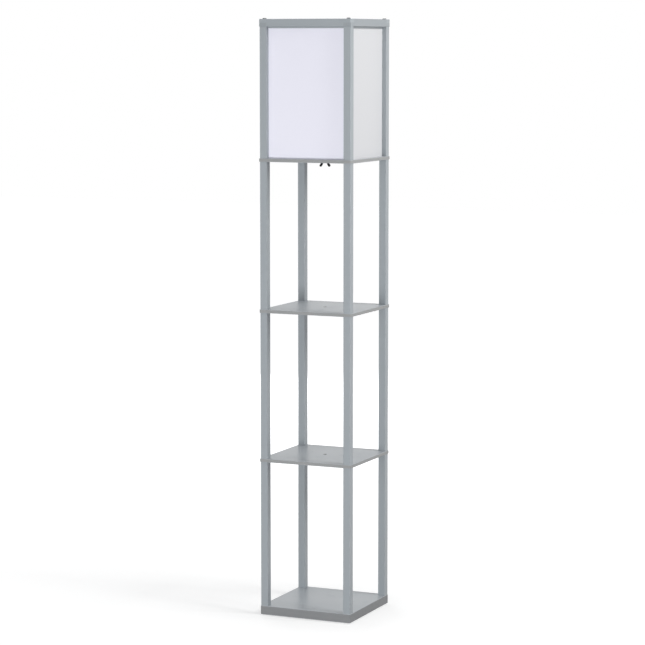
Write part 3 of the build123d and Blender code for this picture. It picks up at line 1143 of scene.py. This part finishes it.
@dataclass
class Bulb(SubAssembly):
    """The opal bulb: tip, threaded cap, flared body and globe.

    The rim's profile is counted from the rim's radius and the body's top, the tip's foot
    from the axis and the tip's underside, and its shoulder from its radius and top.
    """

    neck: float = 14.0 * MM
    neck_edge: float = 0.4 * MM
    rim: float = 27.4 * MM
    rim_edge: Profile = ((0.0, -1.6), (-0.5, -1.3), (-0.5, -0.4), (-0.9, 0.0))
    flare_power: float = 1.15
    flare_start: float = 0.02
    flare_span: float = 0.9
    flare_steps: int = 18
    globe_radius: float = 30.0 * MM
    globe_sink: float = 12.0 * MM
    globe_steps: int = 28
    tip_foot: Profile = ((3.4, 0.3), (4.4, 0.6), (4.6, 1.5))
    tip_shoulder: Profile = ((-0.6, -0.3), (0.0, 0.0))
    solder_radius: float = 3.4 * MM
    solder_height: float = 0.5 * MM
    solder_steps: int = 6
    cap_lead: float = 2.0 * MM
    cap_steps: int = 50
    cap_segments: int = 64
    segments: int = 96

    def body(self) -> list[Ring]:
        """Shapes the body with its flare, a cooling step and the globe's seat.

        Returns:
            Its rings.
        """
        low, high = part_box("bulb_body")
        tall = high.z - low.z
        edge = self.neck_edge
        rings = [Ring(0, low.z), Ring(self.neck - edge, low.z), Ring(self.neck, low.z + edge)]
        for step in range(1, self.flare_steps + 1):
            share = step / self.flare_steps
            flare = 1 - math.cos(share * QUARTER_TURN) ** self.flare_power
            rise = tall * (self.flare_start + self.flare_span * share)
            rings.append(Ring(self.neck + (self.rim - self.neck) * flare, low.z + rise))
        return [*rings, *rings_from(self.rim_edge, self.rim, high.z), Ring(0, high.z)]

    def globe(self) -> list[Ring]:
        """Shapes the globe's cap above the body's rim.

        Returns:
            Its rings.
        """
        low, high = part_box("bulb_globe")
        middle = low.z + self.globe_sink
        start = -math.asin(self.globe_sink / self.globe_radius)
        rings = [Ring(0, low.z)]
        for step in range(self.globe_steps):
            lean = start + (QUARTER_TURN - start) * step / self.globe_steps
            reach = self.globe_radius * math.cos(lean)
            rings.append(Ring(reach, middle + self.globe_radius * math.sin(lean)))
        return [*rings, Ring(0, high.z)]

    def tip(self) -> list[Ring]:
        """Shapes the insulator under the cap.

        Returns:
            Its rings.
        """
        low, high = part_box("bulb_tip")
        foot = rings_from(self.tip_foot, 0.0, low.z)
        shoulder = rings_from(self.tip_shoulder, high.x, high.z)
        return [Ring(0, foot[0].height), *foot, *shoulder, Ring(0, high.z)]

    def solder(self) -> list[Ring]:
        """Shapes the solder spot that meets the contact spring.

        Returns:
            Its rings.
        """
        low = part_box("bulb_tip")[0].z
        rings = [Ring(0, low)]
        for lean in quarter(self.solder_steps)[1:]:
            rise = self.solder_height * (1 - math.cos(lean))
            rings.append(Ring(self.solder_radius * math.sin(lean), low + rise))
        return [*rings, Ring(0, low + self.solder_height)]

    def cap(self, thread: Thread) -> Mesh:
        """Builds the threaded cap.

        Args:
            thread: The thread that it shares with the holder's shell.

        Returns:
            The cap's mesh.
        """
        low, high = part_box("bulb_cap")
        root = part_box("bulb_tip")[1].x

        def wall(angle: float, z: float) -> float:
            """Gives the cap's radius: the thread, drawn in at the tip's end."""
            share = min(1.0, (z - low.z) / self.cap_lead)
            return root + (thread.radius(angle, z) - root) * share

        return tube(wall, lambda angle, z: 0.0, low.z, high.z, self.cap_steps, self.cap_segments)

    def build(self, thread: Thread) -> None:
        """Builds and seats the bulb's pieces.

        Args:
            thread: The thread that the cap shares with the holder's shell.
        """
        finish = self.finish
        cap = Piece("threaded_bulb_cap", [self.cap(thread)], THREAD_EDGE)
        cap.seat(finish["nickel"], "nickel", "bulb", "bulb_cap")
        body = Piece("flared_bulb_body", [turned(self.body(), self.segments)])
        body.seat(finish["bulb_shell"], "bulb_plastic", "bulb", "bulb_body")
        globe = Piece("opal_globe", [turned(self.globe(), self.segments)], THREAD_EDGE)
        globe.seat(finish["opal"], "opal", "bulb", "bulb_globe")
        tip = Piece("bulb_insulator", [turned(self.tip(), self.segments)])
        tip.seat(finish["insulator"], "bulb_insulator", "bulb_tip", "bulb_tip")
        solder = Piece("solder_spot", [turned(self.solder(), self.segments)])
        solder.seat(finish["tin"], "zinc_steel", "bulb_tip")


# ---------------------------------------------------------------- studio


WARM: Colour = (1.0, 0.995, 0.985)
COOL: Colour = (0.98, 0.99, 1.0)
WHITE = (1.0, 1.0, 1.0, 1.0)
MIDDLE: Point = (0.0, 0.0, 0.9)
UPPER: Point = (0.0, 0.0, 1.1)


def seen_directly(tree: Tree) -> Socket:
    """Gives 1 for rays that show the surroundings themselves: seen, mirrored or through glass.

    Args:
        tree: The node tree that asks.

    Returns:
        The socket of the answer.
    """
    path = add(tree, "LightPath", {})
    total = path.outputs["Is Camera Ray"]
    for name in ("Is Glossy Ray", "Is Transmission Ray"):
        rays = {0: total, 1: path.outputs[name]}
        total = add(tree, "Math", rays, operation="MAXIMUM").outputs[0]
    return total


@dataclass(frozen=True)
class SoftBox:
    """One soft box: its place and aim, its width and height, and its power in watts.

    A box that isn't mirrored lights the lamp but leaves no reflection on it.
    """

    name: str
    place: Point
    aim: Point
    size: tuple[float, float]
    power: float
    colour: Colour
    mirrored: bool = True

    def hang(self) -> None:
        """Puts the light in the scene."""
        data = bpy.data.lights.new(self.name, "AREA")
        data.shape = "RECTANGLE"
        data.size, data.size_y = self.size
        data.energy = self.power
        data.color = self.colour
        box = bpy.data.objects.new(self.name, data)
        box.location = self.place
        box.rotation_mode = "QUATERNION"
        box.rotation_quaternion = (Vector(self.aim) - Vector(self.place)).to_track_quat("-Z", "Y")
        box.visible_glossy = self.mirrored
        bpy.context.scene.collection.objects.link(box)


@dataclass
class Studio:
    """Pale floor, white surroundings, five soft lights and the camera."""

    distance: float = 6.5
    azimuth: float = 23.972
    heading: float = 24.031
    eye_height: float = 1.535
    pitch: float = 6.565
    focal_pixels: float = 2430.0
    image_width: float = 645.0
    sensor: float = 36.0
    clip_end: float = 100.0
    ambient: float = 0.32
    floor_size: float = 30.0
    floor_drop: float = 0.2 * MM
    floor_bounce: float = 0.42
    floor_shadow: float = 0.60
    floor_glow: Range = (0.52, 0.84)
    floor_fade: float = 3.5
    lights: tuple[SoftBox, ...] = (
        SoftBox("key", (2.1, -0.15, 2.1), UPPER, (1.1, 1.1), 41.5, WARM, mirrored=False),
        SoftBox("front", (-1.0, -4.5, 1.2), MIDDLE, (2.4, 2.4), 24.0, COOL),
        SoftBox("low", (0.5, -4.5, 0.3), MIDDLE, (3.0, 0.6), 96.0, COOL, mirrored=False),
        SoftBox("back", (-3.2, 3.3, 0.7), MIDDLE, (2.4, 1.2), 130.0, COOL, mirrored=False),
        SoftBox("top", (0.0, 0.0, 3.0), MIDDLE, (0.3, 0.3), 16.0, WARM),
    )

    def camera(self) -> None:
        """Stands the camera where the photograph was taken from."""
        data = bpy.data.cameras.new("camera")
        data.sensor_width = self.sensor
        data.lens = self.focal_pixels / self.image_width * self.sensor
        data.clip_end = self.clip_end
        eye = bpy.data.objects.new("camera", data)
        bpy.context.scene.collection.objects.link(eye)
        place = polar(self.distance, math.radians(self.azimuth) - QUARTER_TURN, self.eye_height)
        turn = Matrix.Rotation(math.radians(self.heading), 4, "Z")
        lift = Matrix.Rotation(QUARTER_TURN - math.radians(self.pitch), 4, "X")
        eye.matrix_world = Matrix.Translation(place) @ turn @ lift
        bpy.context.scene.camera = eye

    def surroundings(self) -> None:
        """Makes a world that lights softly and is seen as white."""
        world = bpy.data.worlds.new("studio")
        bpy.context.scene.world = world
        world.use_nodes = True
        tree = world.node_tree
        tree.nodes.remove(tree.nodes["Background"])
        sky = {"Color": (*COOL, 1.0), "Strength": self.ambient}
        soft, white = add(tree, "Background", sky), add(tree, "Background", {"Color": WHITE})
        shares = {0: seen_directly(tree), 1: soft.outputs[0], 2: white.outputs[0]}
        mix = add(tree, "MixShader", shares)
        tree.links.new(mix.outputs[0], tree.nodes["World Output"].inputs["Surface"])

    def glow(self, tree: Tree) -> Socket:
        """Makes the floor's own light, which grows with the distance from the lamp.

        Args:
            tree: The floor material's node tree.

        Returns:
            The socket of the glowing shader.
        """
        place = add(tree, "TexCoord", {}).outputs["Object"]
        far = add(tree, "VectorMath", {0: place}, operation="LENGTH").outputs["Value"]
        near, away = self.floor_glow
        inputs = {"Value": far, "From Max": self.floor_fade, "To Min": near, "To Max": away}
        rise = add(tree, "MapRange", inputs, interpolation_type="SMOOTHERSTEP")
        return add(tree, "Emission", {"Strength": rise.outputs["Result"]}).outputs[0]

    def floor(self) -> None:
        """Lays the pale floor, which is seen as white but keeps the lamp's shadow."""
        material = bpy.data.materials.new("floor")
        material.use_nodes = True
        tree = material.node_tree
        tree.nodes.remove(tree.nodes["Principled BSDF"])
        pale, thin = (
            add(tree, "BsdfDiffuse", {"Color": (level, level, level, 1.0)}).outputs[0]
            for level in (self.floor_bounce, self.floor_shadow)
        )
        seen = add(tree, "AddShader", {0: thin, 1: self.glow(tree)}).outputs[0]
        mix = add(tree, "MixShader", {0: seen_directly(tree), 1: pale, 2: seen})
        tree.links.new(mix.outputs[0], tree.nodes["Material Output"].inputs["Surface"])

        half = self.floor_size / 2
        corners = [(-half, -half, 0), (half, -half, 0), (half, half, 0), (-half, half, 0)]
        mesh = bpy.data.meshes.new("floor")
        mesh.from_pydata(corners, [], [range(len(corners))])
        mesh.materials.append(material)
        floor = bpy.data.objects.new("floor", mesh)
        floor.location.z = -self.floor_drop
        bpy.context.scene.collection.objects.link(floor)

    def build(self) -> None:
        """Builds the whole studio."""
        bpy.context.scene.view_settings.view_transform = "Standard"
        self.camera()
        self.surroundings()
        self.floor()
        for light in self.lights:
            light.hang()


def main() -> None:
    """Builds the lamp's looks."""
    logging.basicConfig(level=logging.INFO, format="%(name)s: %(message)s")
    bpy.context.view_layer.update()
    finish = Finishes().build()
    Studio().build()
    Tower(finish).build()
    FastenerSet(finish).build()
    holder = Lampholder(finish)
    holder.build()
    WingNut(finish).build()
    Bulb(finish).build(holder.thread())


if __name__ == "__main__":
    main()
